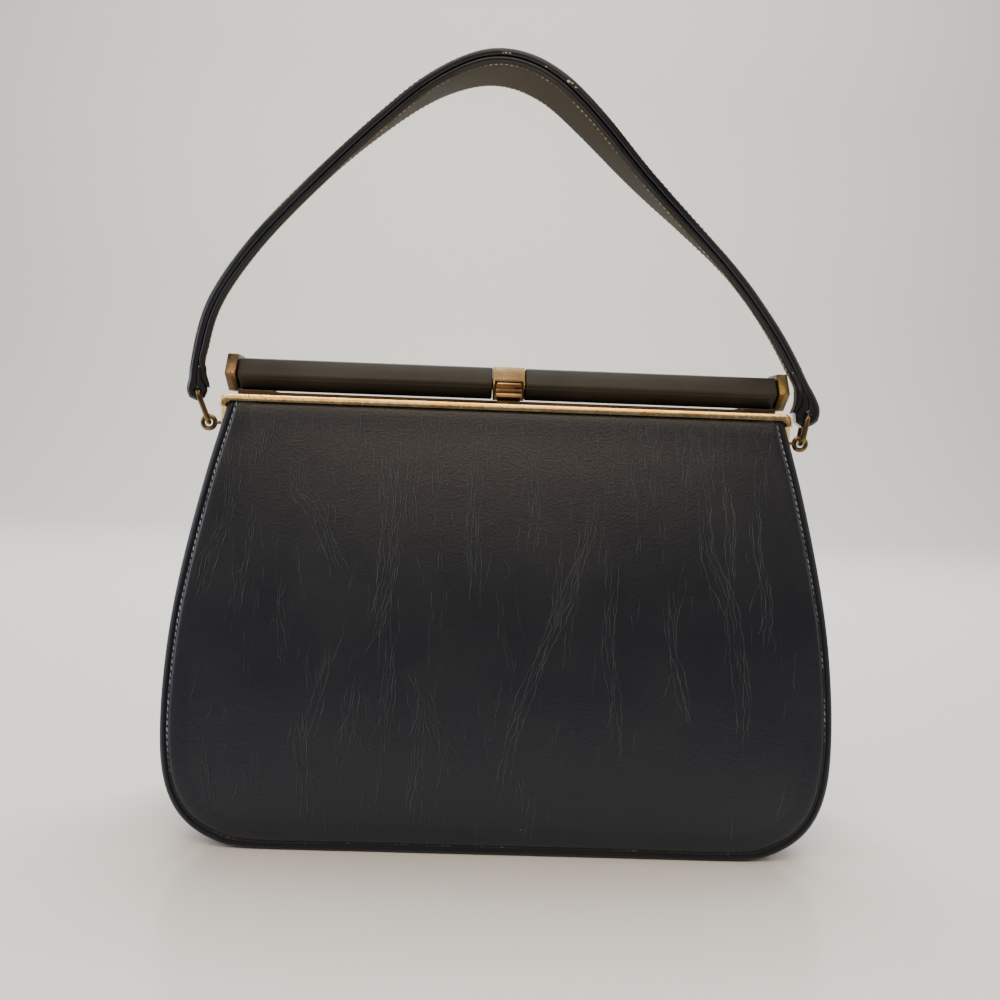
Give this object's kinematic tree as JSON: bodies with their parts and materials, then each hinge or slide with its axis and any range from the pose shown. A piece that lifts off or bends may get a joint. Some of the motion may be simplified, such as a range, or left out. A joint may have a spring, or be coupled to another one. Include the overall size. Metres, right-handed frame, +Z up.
{
  "type": "frame purse",
  "caption": "Structured leather purse on a hinged brass frame, with a leather-covered six-sided top bar, a tongue clasp and a strap handle on wire links.",
  "frame": {"origin": "middle of the base, on the surface the purse stands on", "axes": "+Z up, the front with the clasp faces -Y, +X along the frame to the front view's right"},
  "size_m": [0.2523, 0.0802, 0.3025],
  "materials": {
    "black_leather": "creased, semi-gloss",
    "strap_leather": "smooth, worn edges",
    "brass": "polished, tarnished in patches"
  },
  "bodies": {
    "purse": {"front_panel": "black_leather", "back_panel": "black_leather", "gusset": "black_leather", "front_frame": "brass", "back_frame": "brass", "bar_core": "brass", "bar_cover_left": "black_leather", "end_cap_left": "brass", "hinge_eye_left": "brass", "link_left": "brass", "bar_cover_right": "black_leather", "end_cap_right": "brass", "hinge_eye_right": "brass", "link_right": "brass", "handle_strap": "strap_leather", "handle_lining": "strap_leather"},
    "clasp": {"clasp_tongue": "brass"}
  },
  "joints": [
    {"name": "clasp_hinge", "type": "hinge", "parent": "purse", "child": "clasp", "pos_m": [0, -0.007, 0.1645], "axis": [1, 0, 0], "range_deg": [0, 18], "stiffness_Nm_per_rad": 0.02}
  ]
}
